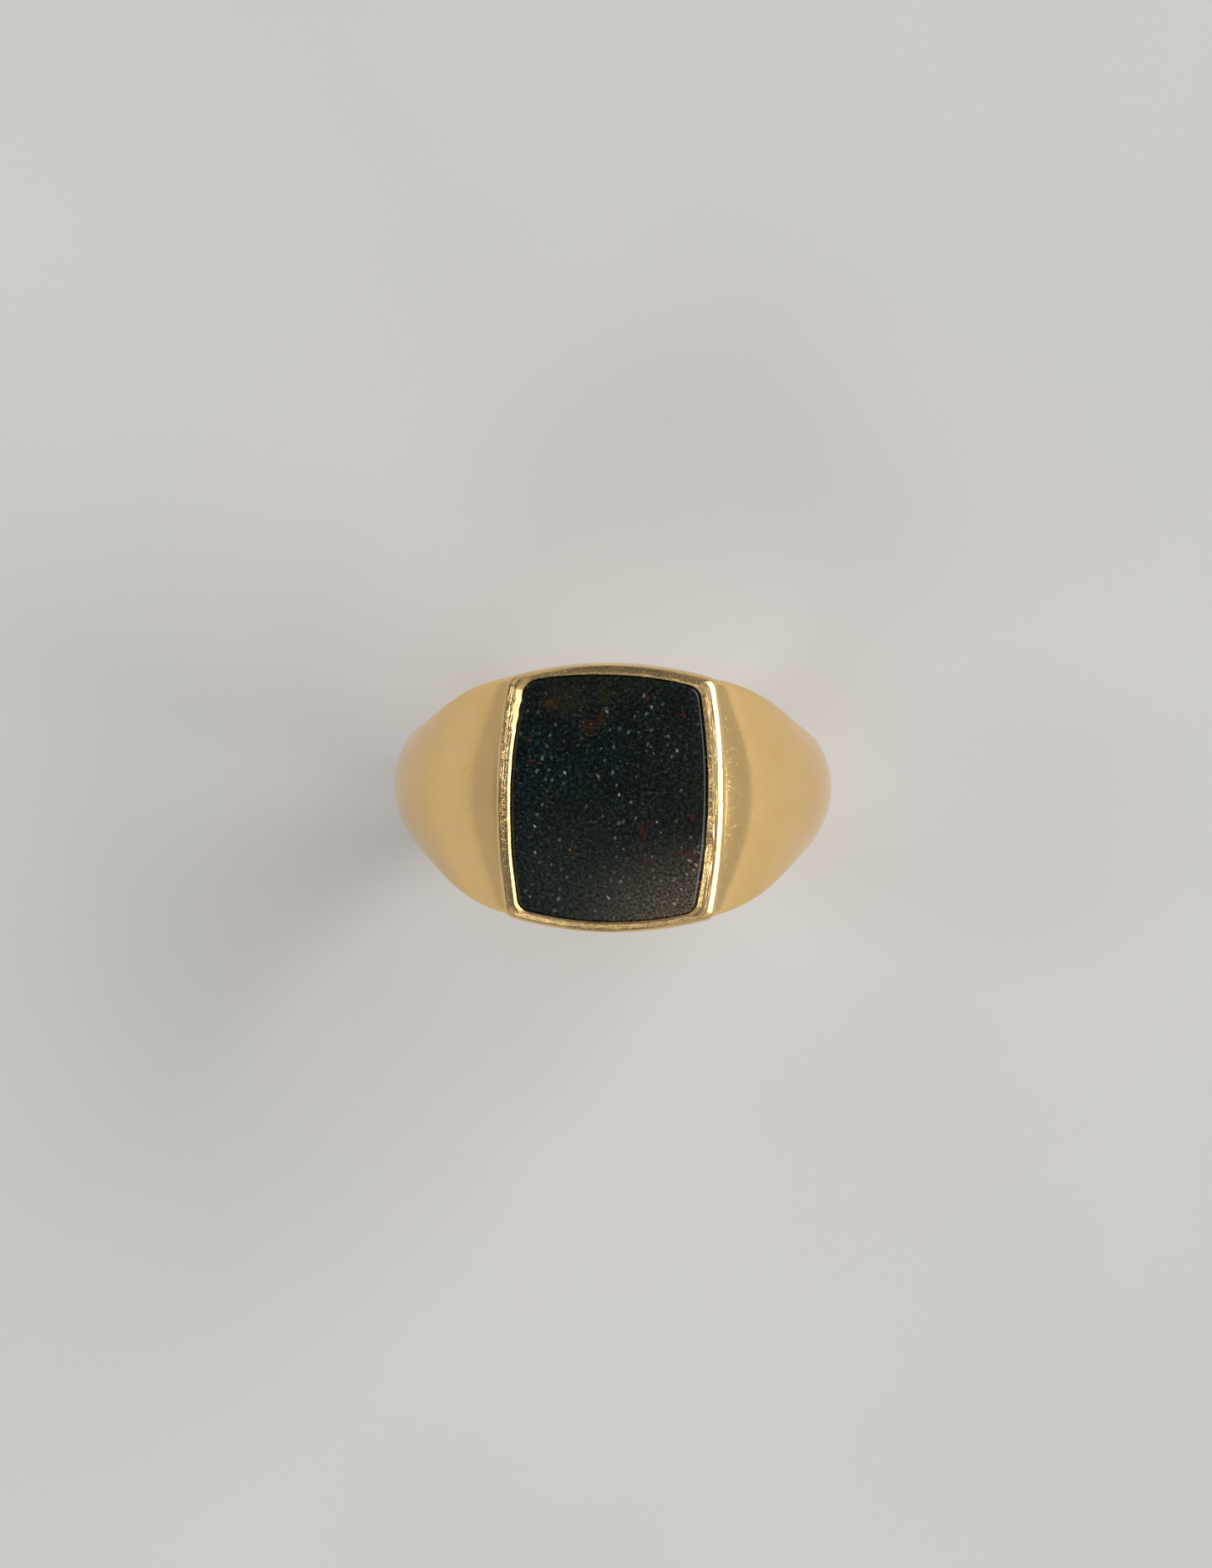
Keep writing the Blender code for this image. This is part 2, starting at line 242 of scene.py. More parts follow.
# The softboxes: name, azimuth, elevation, half angles they fill, radiance and colour.
WHITE = (1.0, 1.0, 1.0)
SOFTBOXES = (
    ("key", 16.0, 34.0, (34.0, 14.0), 3.9, (1.0, 0.98, 0.95)),
    ("small_box", 175.0, 45.0, (5.0, 5.5), 6.0, WHITE),
    ("front_fill", 255.0, 50.0, (13.0, 8.0), 1.8, (0.97, 0.98, 1.0)),
    ("panel_back", 132.0, 40.0, (21.0, 16.0), 0.55, WHITE),
    ("panel_left", 228.0, 40.0, (21.0, 16.0), 0.55, WHITE),
    ("panel_front", 312.0, 40.0, (21.0, 16.0), 0.55, WHITE),
)

# The camera: how far it stands off, its lean from straight above towards +X and +Y, its roll,
# and how far beside the rim's middle it aims, to the right and upwards in its own view.
CAMERA_DISTANCE = 420.0
CAMERA_LEAN = (0.5, 2.95)
CAMERA_ROLL = 0.60
FOCAL_LENGTH = 194.0
SENSOR_WIDTH = 36.0
CLIP_START, CLIP_END = 0.01, 10.0
AIM_OFFSET = (-0.242, 0.725)

# How finely the skins are drawn. The band's section runs through five stages: inner face, inner
# edge, flank, outer edge and crown.
SWEEP_STEP = 1.0 if FINE else 2.5
STAGE_STEPS = (5, 6, 8, 6, 20) if FINE else (3, 4, 4, 4, 10)
SIDE_STEPS = 26 if FINE else 12
CORNER_STEPS = 14 if FINE else 8
ROUNDING_STEPS = 4
TABLE_RINGS = 8
TURN_STEP, PLACE_STEP = 0.05, 0.004
ANGLE_TOLERANCE = 1e-5


# ---------------------------------------------------------------- meshes


def add_mesh(name, points, faces):
    """A smooth-shaded object from points in millimetres."""
    mesh = bpy.data.meshes.new(name)
    mesh.from_pydata([Vector(point) * MM for point in points], [], faces)
    mesh.validate()
    piece = bpy.data.objects.new(name, mesh)
    bpy.context.scene.collection.objects.link(piece)
    mesh.shade_smooth()
    return piece


def ring_between(lower, upper, count):
    """Faces between two rings of points, given each ring's first index."""
    faces = []
    for index in range(count):
        after = (index + 1) % count
        faces.append((lower + index, lower + after, upper + after, upper + index))
    return faces


def set_normals(piece, normals):
    """Give each corner the normal of its point, where one is known, else its face's own."""
    mesh = piece.data
    chosen = []
    for face in mesh.polygons:
        known = [normals[index] for index in face.vertices]
        on_skin = all(normal is not None for normal in known)
        chosen += known if on_skin else [face.normal.copy()] * len(known)
    mesh.normals_split_custom_set(chosen)


@functools.lru_cache(maxsize=None)
def band_measures(angle):
    """Outer radius, half width, edge drop and flank taper of the band at an angle."""
    if angle > 90.0:
        angle = 180.0 - angle
    if angle < -90.0:
        angle = -180.0 - angle
    place = (angle + 90.0) / CONTROL_STEP
    index = min(int(place), len(OUTER_RADIUS) - 2)
    t = place - index
    weights = (
        (1 - t) ** 3 / 6,
        (3 * t ** 3 - 6 * t ** 2 + 4) / 6,
        (-3 * t ** 3 + 3 * t ** 2 + 3 * t + 1) / 6,
        t ** 3 / 6,
    )
    measures = []
    for controls in (OUTER_RADIUS, HALF_WIDTH, EDGE_DROP, FLANK_TAPER):
        padded = (controls[1], *controls, controls[-2])
        near = padded[index:index + 4]
        measures.append(sum(weight * value for weight, value in zip(weights, near)))
    return measures


def bezier(start, corner, end, t):
    """A point on the curve that leaves start and reaches end, drawn towards the corner."""
    return start * (1 - t) ** 2 + corner * 2 * t * (1 - t) + end * t ** 2


def band_profile(angle, place):
    """Width and radius at a place from 0, the inner face's middle, to 5, the crown's middle."""
    outer_radius, half_width, drop, taper = band_measures(angle)
    inner_corner = Vector((half_width - taper, FINGER_RADIUS))
    crown_edge = half_width - OUTER_EDGE_ROUNDING
    share = crown_edge / half_width
    outer_corner = Vector((half_width, outer_radius - drop * share * (2 - share)))
    flank = (outer_corner - inner_corner).normalized()
    flank_start = inner_corner + flank * INNER_EDGE_ROUNDING
    flank_end = outer_corner - flank * OUTER_EDGE_ROUNDING
    if place < 1:
        inner_width = inner_corner.x - INNER_EDGE_ROUNDING
        return Vector((inner_width * place, FINGER_RADIUS))
    if place < 2:
        start = inner_corner - Vector((INNER_EDGE_ROUNDING, 0.0))
        return bezier(start, inner_corner, flank_start, place - 1)
    if place < 3:
        return flank_start.lerp(flank_end, place - 2)
    crown_start = Vector((crown_edge, outer_radius - drop * share ** 2))
    if place < 4:
        return bezier(flank_end, outer_corner, crown_start, place - 3)
    width = crown_edge * (5 - place)
    return Vector((width, outer_radius - drop * (width / half_width) ** 2))


def saddle_profile(angle, place):
    """The same for the saddle, whose flank stops at the flat top that carries the cup."""
    if place < 2:
        return band_profile(angle, place)
    top_radius = POCKET_FLOOR / math.sin(math.radians(angle))
    flank_start = band_profile(angle, 2.0)
    flank_further = band_profile(angle, 2.9)
    share = (top_radius - flank_start.y) / (flank_further.y - flank_start.y)
    top_corner = flank_start.lerp(flank_further, share)
    flank = (flank_further - flank_start).normalized()
    flank_end = top_corner - flank * SADDLE_EDGE_ROUNDING
    if place < 3:
        return flank_start.lerp(flank_end, place - 2)
    top_start = top_corner - Vector((SADDLE_EDGE_ROUNDING, 0.0))
    if place < 4:
        return bezier(flank_end, top_corner, top_start, place - 3)
    return Vector((top_start.x * (5 - place), top_radius))


def swept_point(profile, angle, place, side):
    """A point of the band, at an angle round the finger and on one side of the section."""
    point = profile(angle, place)
    turn = math.radians(angle)
    return Vector((point.y * math.cos(turn), side * point.x, point.y * math.sin(turn)))


def swept_normal(profile, angle, place, side):
    """The form's own outward normal, from how the point moves along the sweep and the section."""
    low, high = max(place - PLACE_STEP, 0.0), min(place + PLACE_STEP, 5.0)
    along = swept_point(profile, angle + TURN_STEP, place, side)
    along -= swept_point(profile, angle - TURN_STEP, place, side)
    across = swept_point(profile, angle, high, side) - swept_point(profile, angle, low, side)
    return (along.cross(across) * side).normalized()


def section_places():
    """Places once round the section, as (place, side)."""
    half = []
    for stage, steps in enumerate(STAGE_STEPS):
        half += [stage + step / steps for step in range(steps)]
    right = [(place, 1.0) for place in half] + [(5.0, 1.0)]
    left = [(place, -1.0) for place in reversed(half[1:])]
    return right + left


def swept_skin(name, profile, ranges, cap_start, cap_end):
    """A closed skin swept between each line's own first and last angle.

    cap_start and cap_end are the points in the middle of the two hidden end caps.
    """
    places = section_places()
    longest = max(last - first for first, last in ranges)
    steps = max(2, round(longest / SWEEP_STEP))
    count = len(places)
    points, normals, faces = [], [], []
    for step in range(steps + 1):
        for (place, side), (first, last) in zip(places, ranges):
            angle = first + (last - first) * step / steps
            points.append(swept_point(profile, angle, place, side))
            normals.append(swept_normal(profile, angle, place, side))
    for step in range(steps):
        faces += ring_between((step + 1) * count, step * count, count)
    for centre, base, turned in ((cap_start, 0, False), (cap_end, steps * count, True)):
        points.append(Vector(centre))
        normals.append(None)
        for line in range(count):
            face = (base + line, base + (line + 1) % count, len(points) - 1)
            faces.append(face[::-1] if turned else face)
    piece = add_mesh(name, points, faces)
    set_normals(piece, normals)
    return piece


# ---------------------------------------------------------------- cushion outlines


def corner_geometry(outline):
    """Radii and centres of a cushion's side, end and corner arcs in the first quarter."""
    half_x, half_y, side_bulge, end_bulge, corner = outline
    side_radius = (half_y ** 2 + side_bulge ** 2) / (2 * side_bulge)
    end_radius = (half_x ** 2 + end_bulge ** 2) / (2 * end_bulge)
    side_centre = Vector((half_x - side_radius, 0.0))
    end_centre = Vector((0.0, half_y - end_radius))
    across = end_centre - side_centre
    gap = across.length
    side_reach, end_reach = side_radius - corner, end_radius - corner
    along = (side_reach ** 2 - end_reach ** 2 + gap ** 2) / (2 * gap)
    height = math.sqrt(side_reach ** 2 - along ** 2)
    direction = across / gap
    centre = side_centre + direction * along + Vector((-direction.y, direction.x)) * height
    return side_centre, side_radius, end_centre, end_radius, centre


def cushion_outline(outline):
    """Points once round a cushion shape, counterclockwise from +X."""
    corner = outline[4]
    side_centre, side_radius, end_centre, end_radius, centre = corner_geometry(outline)
    side_end = math.atan2(centre.y - side_centre.y, centre.x - side_centre.x)
    corner_end = math.atan2(centre.y - end_centre.y, centre.x - end_centre.x)
    arcs = (
        (side_centre, side_radius, 0.0, side_end, SIDE_STEPS),
        (centre, corner, side_end, corner_end, CORNER_STEPS),
        (end_centre, end_radius, corner_end, math.pi / 2, SIDE_STEPS),
    )
    quarter = []
    for middle, radius, start, end, steps in arcs:
        for step in range(steps):
            turn = start + (end - start) * step / steps
            quarter.append(middle + radius * Vector((math.cos(turn), math.sin(turn))))
    upper = quarter + [Vector((0.0, outline[1]))]
    upper += [Vector((-point.x, point.y)) for point in reversed(quarter[1:])]
    return upper + [-point for point in upper]


def cushion_reach(outline, x):
    """How far a cushion reaches in Y at a given x, or 0 beyond its sides."""
    corner = outline[4]
    side_centre, side_radius, end_centre, end_radius, centre = corner_geometry(outline)
    to_end = (centre - end_centre).normalized()
    to_side = (centre - side_centre).normalized()
    if abs(x) >= outline[0]:
        return 0.0
    if abs(x) <= (centre + to_end * corner).x:
        return end_centre.y + math.sqrt(end_radius ** 2 - x ** 2)
    if abs(x) <= (centre + to_side * corner).x:
        return centre.y + math.sqrt(max(corner ** 2 - (abs(x) - centre.x) ** 2, 0.0))
    return math.sqrt(max(side_radius ** 2 - (abs(x) - side_centre.x) ** 2, 0.0))


def shrunk(outline, amount):
    """A cushion outline pulled in on its sides and ends."""
    half_x, half_y, side_bulge, end_bulge, corner = outline
    return (half_x - amount, half_y - amount, side_bulge, end_bulge, corner)


# ---------------------------------------------------------------- the band's skins


def stopping_angle(profile, place, first, last, reached):
    """The first angle at which a line of the sweep has reached something, by halving."""
    while last - first > ANGLE_TOLERANCE:
        middle = (first + last) / 2
        if reached(swept_point(profile, middle, place, 1.0)):
            last = middle
        else:
            first = middle
    return first


def at_saddle_end(point):
    """True once the saddle's end is reached."""
    return point.x <= SADDLE_HALF_LENGTH


def under_the_cup(point):
    """True at the saddle's end, or inside the bezel's wall above the saddle's top."""
    inner = shrunk(BEZEL_OUTER, SKIN_OVERLAP)
    in_wall = point.z > POCKET_FLOOR and abs(point.y) < cushion_reach(inner, point.x)
    return at_saddle_end(point) or in_wall


def build_shank():
    """The hoop under the finger, between the two shoulders."""
    first, last = -180.0 - SHANK_TOP_ANGLE, SHANK_TOP_ANGLE
    middle = (FINGER_RADIUS + band_measures(last)[0]) / 2
    turn = math.radians(last)
    cap_end = (middle * math.cos(turn), 0.0, middle * math.sin(turn))
    cap_start = (-cap_end[0], 0.0, cap_end[2])
    ranges = [(first, last)] * len(section_places())
    return swept_skin("shank_skin", band_profile, ranges, cap_start, cap_end)


def build_shoulder(name, side):
    """One shoulder, up to where it goes into the bezel's wall and onto the saddle."""
    ranges = []
    for place, _ in section_places():
        last = stopping_angle(
            band_profile, place, SHANK_TOP_ANGLE, SHOULDER_LAST_ANGLE, under_the_cup
        )
        ranges.append((SHANK_TOP_ANGLE, last))
    middle = (FINGER_RADIUS + band_measures(SHANK_TOP_ANGLE)[0]) / 2
    turn = math.radians(SHANK_TOP_ANGLE)
    cap_start = (middle * math.cos(turn), 0.0, middle * math.sin(turn))
    piece = swept_skin(name, band_profile, ranges, cap_start, CAP_CENTRE)
    if side < 0:
        mirror_in_x(piece)
    return piece


def mirror_in_x(piece):
    """Mirror a mesh and its own normals across the YZ plane."""
    mesh = piece.data
    mirrored = {}
    for face in mesh.polygons:
        for corner in face.loop_indices:
            normal = mesh.corner_normals[corner].vector
            key = (face.index, mesh.loops[corner].vertex_index)
            mirrored[key] = Vector((-normal.x, normal.y, normal.z))
    mesh.transform(Matrix.Diagonal((-1.0, 1.0, 1.0, 1.0)))
    mesh.flip_normals()
    normals = [None] * len(mesh.loops)
    for face in mesh.polygons:
        for corner in face.loop_indices:
            normals[corner] = mirrored[face.index, mesh.loops[corner].vertex_index]
    mesh.normals_split_custom_set(normals)


def build_saddle():
    """The curved block over the finger that joins the shoulders under the cup."""
    ranges = []
    for place, _ in section_places():
        first = stopping_angle(saddle_profile, place, *SADDLE_SEARCH, at_saddle_end)
        ranges.append((first, 180.0 - first))
    middle_height = (FINGER_RADIUS + POCKET_FLOOR) / 2
    centre = (SADDLE_HALF_LENGTH, 0.0, middle_height - SADDLE_CAP_DROP)
    opposite = (-centre[0], 0.0, centre[2])
    return swept_skin("head_block_skin", saddle_profile, ranges, centre, opposite)


# ---------------------------------------------------------------- the cup and the stone


def softened(profile):
    """A polyline of (across, height, rounding) with each corner rounded off."""
    points = []
    count = len(profile)
    for index, (across, height, rounding) in enumerate(profile):
        corner = Vector((across, height))
        before = Vector(profile[index - 1][:2])
        after = Vector(profile[(index + 1) % count][:2])
        start = corner + (before - corner).normalized() * rounding
        end = corner + (after - corner).normalized() * rounding
        for step in range(ROUNDING_STEPS + 1):
            points.append(bezier(start, corner, end, step / ROUNDING_STEPS))
    return points


def around(turn, radius, height):
    """A place on a level circle round the Z axis."""
    return Vector((math.cos(turn) * radius, math.sin(turn) * radius, height))


def hand_work(turn, seed):
    """A slow wander once round the rim, as a burnisher leaves it, from about -1 to 1."""
    slow = noise.noise(around(turn, WANDER_WAVES, seed))
    finer = noise.noise(around(turn, WANDER_FINER, seed + FINER_SEED))
    return slow + FINER_SHARE * finer


def near_corner(point, corner):
    """How near a point is to a corner given as (x, y, spread), from 0 to 1."""
    x, y, spread = corner
    return math.exp(-((point.x - x) ** 2 + (point.y - y) ** 2) / spread)


def near_level(point, level):
    """How near a point's y is to a level given as (y, reach), from 0 to 1."""
    y, reach = level
    return math.exp(-((point.y - y) / reach) ** 2)


def opening_outline():
    """The lip's outline as it really lies: a little off centre, turned, with one corner pulled."""
    turned = Matrix.Rotation(math.radians(LIP_TURN), 2)
    outline = []
    for point in cushion_outline(BEZEL_LIP):
        pull = near_corner(point, PULLED_CORNER)
        outline.append(turned @ point + LIP_OFFSET + CORNER_PULL * pull)
    return outline


def dent(point):
    """Shallow hollows in the crest on the rim's right side, from 0 to 1."""
    if point.x < 0:
        return 0.0
    return near_level(point, DEEP_HOLLOW) + SMALL_HOLLOW_SHARE * near_level(point, SMALL_HOLLOW)


def beads(point):
    """Short pushed bumps along the lip near the rim's upper left corner, from -1 to 1."""
    return near_corner(point, BEADED_CORNER) * math.sin(point.y * BEADS_PER_MM + FIRST_BEAD)


def flare(point):
    """Where the burnisher leaned harder and left the lip broader, from 0 to 1."""
    side = near_level(point, FLARED_SIDE) if point.x > 0 else 0.0
    return near_corner(point, FLARED_CORNER) + side


def in_part(across, depth, part):
    """True for a place of the rim's section inside given limits."""
    low, high, deepest = part
    return low < across < high and depth < deepest


def worked_place(across, depth, start, narrowing):
    """A place of the section after the hand work: its share across, girth and height.

    The girth is how far round the section the place is, for the fine lines on the gold.
    """
    turn = math.atan2(start.y / BEZEL_OUTER[1], start.x / BEZEL_OUTER[0])
    if in_part(across, depth, BEVEL_PART):
        depth = CREST_FALL + (depth - CREST_FALL) * narrowing
    if in_part(across, depth, HOLLOW_PART):
        depth += DENT_DEPTH * dent(start)
    if in_part(across, depth, LIP_START_PART):
        across -= FLARE_WIDTH * flare(start)
    if in_part(across, depth, LIP_EDGE_PART):
        depth += FLARE_DROP * flare(start)
    upper = max(0.0, 1.0 - depth / MOVING_DEPTH)
    inward = min(max((across - INWARD_START) / INWARD_REACH, 0.0), 1.0)
    shift = across + LIP_WANDER * hand_work(turn, LIP_SEED) * upper * inward
    shift += BEAD_DEPTH * beads(start) * upper * inward
    rise = CREST_WANDER * (hand_work(turn, CREST_SEED) - CREST_SINK) * upper
    return shift, across + depth, min(BEZEL_CREST - depth + rise, BEZEL_CREST)


def build_bezel():
    """The rim, with an outer bevel, a flattish crest and a lip burnished over the stone."""
    outer, lip = cushion_outline(BEZEL_OUTER), opening_outline()
    section = softened(RIM_SECTION)
    count = len(outer)
    points, faces, places = [], [], []
    following_points = outer[1:] + outer[:1]
    perimeter = sum((end - start).length for start, end in zip(outer, following_points))
    track = perimeter / (2 * math.pi)
    travelled, before = 0.0, outer[-1]
    widest = BEZEL_OUTER[0] - BEZEL_LIP[0]
    for start, end in zip(outer, lip):
        travelled += (start - before).length
        before = start
        narrowing = min((end - start).length / widest, 1.0)
        for across, depth in section:
            shift, girth, height = worked_place(across, depth, start, narrowing)
            flat = start * (1 - shift) + end * shift
            points.append((flat.x, flat.y, height))
            places.append(around(travelled / track, track, girth))
    length = len(section)
    for index in range(count):
        base, following = index * length, (index + 1) % count * length
        for step in range(length):
            after = (step + 1) % length
            faces.append((base + step, following + step, following + after, base + after))
    piece = add_mesh("bezel_wall_skin", points, faces)
    piece.data.set_sharp_from_angle(angle=math.radians(SHARP_ANGLE))
    rim_place = piece.data.attributes.new(RIM_PLACE, "FLOAT_VECTOR", "POINT")
    for index, place in enumerate(places):
        rim_place.data[index].vector = place
    return piece


def build_stone():
    """The tablet: straight sides, a narrow bevel and a flat table, with softened arrises."""
    outer, lip = cushion_outline(BEZEL_OUTER), opening_outline()
    beyond = STONE_TABLE_EDGE + 2.0
    profile = (
        (LOOSE_FIT, STONE_BOTTOM, STONE_EDGE_ROUNDING),
        (LOOSE_FIT, STONE_GIRDLE, STONE_EDGE_ROUNDING),
        (STONE_TABLE_EDGE, STONE_TABLE, STONE_EDGE_ROUNDING),
        (beyond, STONE_TABLE, 0.0),
        (beyond, STONE_BOTTOM, 0.0),
    )
    rounded_corners = 3
    section = softened(profile)[:rounded_corners * (ROUNDING_STEPS + 1)]
    count = len(outer)
    points = []
    for across, height in section:
        for start, end in zip(outer, lip):
            flat = start * (1 - across) + end * across
            points.append((flat.x, flat.y, height))
    edge = points[-count:]
    for ring in range(1, TABLE_RINGS):
        share = 1 - ring / TABLE_RINGS
        points += [(x * share, y * share, STONE_TABLE) for x, y, _ in edge]
    last = len(points) - count
    points.append((0.0, 0.0, STONE_TABLE))
    levels = len(section) - 1
    faces = []
    for level in range(levels):
        faces += ring_between(level * count, (level + 1) * count, count)
    faces.append(tuple(reversed(range(count))))
    for level in range(levels, levels + TABLE_RINGS - 1):
        faces += ring_between(level * count, (level + 1) * count, count)
    for index in range(count):
        faces.append((last + index, last + (index + 1) % count, len(points) - 1))
    piece = add_mesh("bloodstone_skin", points, faces)
    piece.data.set_sharp_from_angle(angle=math.radians(SHARP_ANGLE))
    return piece


# ---------------------------------------------------------------- materials


class Nodes:
    """A small helper that adds nodes to a material or a world and joins them up."""

    def __init__(self, owner, shader):
        owner.use_nodes = True
        self.owner = owner
        self.tree = owner.node_tree
        self.shader = self.tree.nodes[shader]

    def add(self, kind, inputs=None, **settings):
        """A node of a kind, with values or links for its inputs and its own settings."""
        node = self.tree.nodes.new(kind)
        for key, value in settings.items():
            setattr(node, key, value)
        for key, value in (inputs or {}).items():
            self.put(node.inputs[key], value)
        return node

    def put(self, socket, value):
        """Give a socket a link or a plain value."""
        if isinstance(value, bpy.types.NodeSocket):
            self.tree.links.new(value, socket)
        else:
            socket.default_value = value

    def math(self, operation, *values):
        """A sum, product or other piece of arithmetic."""
        node = self.add("ShaderNodeMath", operation=operation)
        for socket, value in zip(node.inputs, values):
            self.put(socket, value)
        return node.outputs[0]

    def span(self, value, low, high, to_low=0.0, to_high=1.0, smooth=False):
        """The value's place between low and high, clamped, as one from to_low to to_high."""
        kind = "SMOOTHSTEP" if smooth else "LINEAR"
        sockets = {"Value": value, "From Min": low, "From Max": high}
        sockets.update({"To Min": to_low, "To Max": to_high})
        node = self.add("ShaderNodeMapRange", sockets, interpolation_type=kind, clamp=True)
        return node.outputs["Result"]

    def mix(self, share, first, second):
        """A colour from first to second by a share."""
        node = self.add("ShaderNodeMix", data_type="RGBA")
        self.put(node.inputs["Factor"], share)
        self.put(node.inputs[6], first)
        self.put(node.inputs[7], second)
        return node.outputs[2]

    def place(self, turn=(0.0, 0.0, 0.0), stretch=(1.0, 1.0, 1.0)):
        """Position in the ring's frame, in millimetres, turned and then stretched."""
        coordinates = self.add("ShaderNodeTexCoord").outputs["Object"]
        turned = self.add("ShaderNodeMapping", {"Vector": coordinates, "Rotation": turn})
        scale = tuple(1000.0 * value for value in stretch)
        sockets = {"Vector": turned.outputs[0], "Scale": scale}
        return self.add("ShaderNodeMapping", sockets).outputs[0]

    def noise(self, place, scale, detail=4.0, roughness=0.55):
        sockets = {"Vector": place, "Scale": scale, "Detail": detail, "Roughness": roughness}
        return self.add("ShaderNodeTexNoise", sockets).outputs["Fac"]

    def bump(self, height, distance_mm, strength, before=None):
        """A bump, on top of an earlier one if given."""
        sockets = {"Height": height, "Distance": distance_mm * MM, "Strength": strength}
        node = self.add("ShaderNodeBump", sockets)
        if before is not None:
            self.put(node.inputs["Normal"], before)
        return node.outputs["Normal"]

    def finish(self, **sockets):
        """Set the shader's sockets and give the material or world back."""
        for key, value in sockets.items():
            self.put(self.shader.inputs[key.replace("_", " ")], value)
        return self.owner


def material_nodes(name):
    """Nodes of a new material."""
    return Nodes(bpy.data.materials.new(name), "Principled BSDF")


def rgb(red, green, blue):
    """An opaque colour."""
    return (red, green, blue, 1.0)


def hairlines(nodes, turn, thin, width, density):
    """Fine straight scratches in one direction, as a 0 to 1 mask."""
    place = nodes.place(turn=turn, stretch=(thin, thin, 0.35))
    lines = nodes.noise(place, 1.0, detail=2.0, roughness=0.5)
    return nodes.span(lines, density, density + width)


def gold_material(name, colour, shade, roughness, grain, wrought=False):
    """Polished gold: soft colour drift, hairline scratches and a faint hand-finished ripple.

    Wrought gold also has the fine lines that a burnisher leaves along the rim.
    """
    nodes = material_nodes(name)
    place = nodes.place()
    drift = nodes.noise(place, 0.35, detail=3.0)
    fine = nodes.noise(place, 8.0, detail=5.0, roughness=0.65)
    base = nodes.mix(nodes.span(drift, 0.35, 0.7, 0.0, 0.55), rgb(*colour), rgb(*shade))
    base = nodes.mix(nodes.span(fine, 0.42, 0.72, 0.0, 0.5), base, rgb(*shade))
    scratches = nodes.math(
        "MAXIMUM",
        hairlines(nodes, (0.3, 0.5, 0.2), 9.0, 0.05, 0.66),
        hairlines(nodes, (1.2, -0.4, 0.9), 11.0, 0.05, 0.68),
    )
    low, high = roughness
    rough = nodes.span(fine, 0.3, 0.75, low, high)
    rough = nodes.math("ADD", rough, nodes.math("MULTIPLY", scratches, 0.12))
    ripple = nodes.noise(place, 0.9, detail=2.0)
    normal = nodes.bump(ripple, 0.02, 0.25)
    if wrought:
        along = nodes.add("ShaderNodeAttribute", attribute_name=RIM_PLACE).outputs["Vector"]
        sockets = {"Vector": along, "Scale": STROKE_SCALE}
        stretched = nodes.add("ShaderNodeMapping", sockets).outputs[0]
        strokes = nodes.noise(stretched, 1.0, detail=3.0, roughness=0.6)
        normal = nodes.bump(strokes, 0.030, 0.70, normal)
        dents = nodes.noise(place, 3.2, detail=3.0, roughness=0.6)
        normal = nodes.bump(dents, 0.030, 0.60, normal)
    normal = nodes.bump(fine, 0.004, grain, normal)
    normal = nodes.bump(scratches, -0.003, 0.35, normal)
    return nodes.finish(Base_Color=base, Metallic=1.0, Roughness=rough, Normal=normal)


def stone_mark(nodes, flat, wobble, mark):
    """A ragged-edged spot in the stone, as a 0 to 1 mask."""
    x, y, half_x, half_y, _, strength = mark
    sockets = {
        "Vector": flat,
        "Location": (-x / half_x, -y / half_y, 0.0),
        "Scale": (1 / half_x, 1 / half_y, 0.0),
    }
    local = nodes.add("ShaderNodeMapping", sockets).outputs[0]
    reach = nodes.add("ShaderNodeVectorMath", {0: local}, operation="LENGTH").outputs["Value"]
    reach = nodes.math("ADD", reach, wobble)
    return nodes.span(reach, 1.4, 0.1, 0.0, strength, smooth=True)


def region(nodes, flat, x, y, half_x, half_y):
    """A wide soft spot, as a 0 to 1 mask."""
    return stone_mark(nodes, flat, 0.0, (x, y, half_x, half_y, None, 1.0))


def specks(nodes, turn, scale, radius, share, density):
    """Small pale grains of uneven shape: some cells of a flat cellular pattern."""
    flat = nodes.place(turn=(0.0, 0.0, turn), stretch=(1.0, GRAIN_LENGTHENING, 0.0))
    jitter = nodes.add("ShaderNodeTexNoise", {"Vector": flat, "Scale": 7.0}).outputs["Color"]
    sockets = {0: jitter, 1: GRAIN_JITTER}
    shift = nodes.add("ShaderNodeVectorMath", sockets, operation="MULTIPLY").outputs[0]
    moved = nodes.add("ShaderNodeVectorMath", {0: shift, 1: flat}, operation="ADD").outputs[0]
    sockets = {"Vector": moved, "Scale": scale}
    cells = nodes.add("ShaderNodeTexVoronoi", sockets, voronoi_dimensions="2D")
    chance = nodes.add("ShaderNodeSeparateColor", {0: cells.outputs["Color"]}).outputs
    chosen = nodes.math("LESS_THAN", chance[0], nodes.math("MULTIPLY", density, share))
    reach = nodes.math("MULTIPLY", radius * scale, nodes.span(chance[1], 0.0, 1.0, 0.6, 1.3))
    distance = nodes.math("DIVIDE", cells.outputs["Distance"], reach)
    inside = nodes.span(distance, 1.0, 0.3, smooth=True)
    bright = nodes.span(chance[2], 0.0, 1.0, 0.25, 1.0)
    return nodes.math("MULTIPLY", nodes.math("MULTIPLY", inside, chosen), bright)


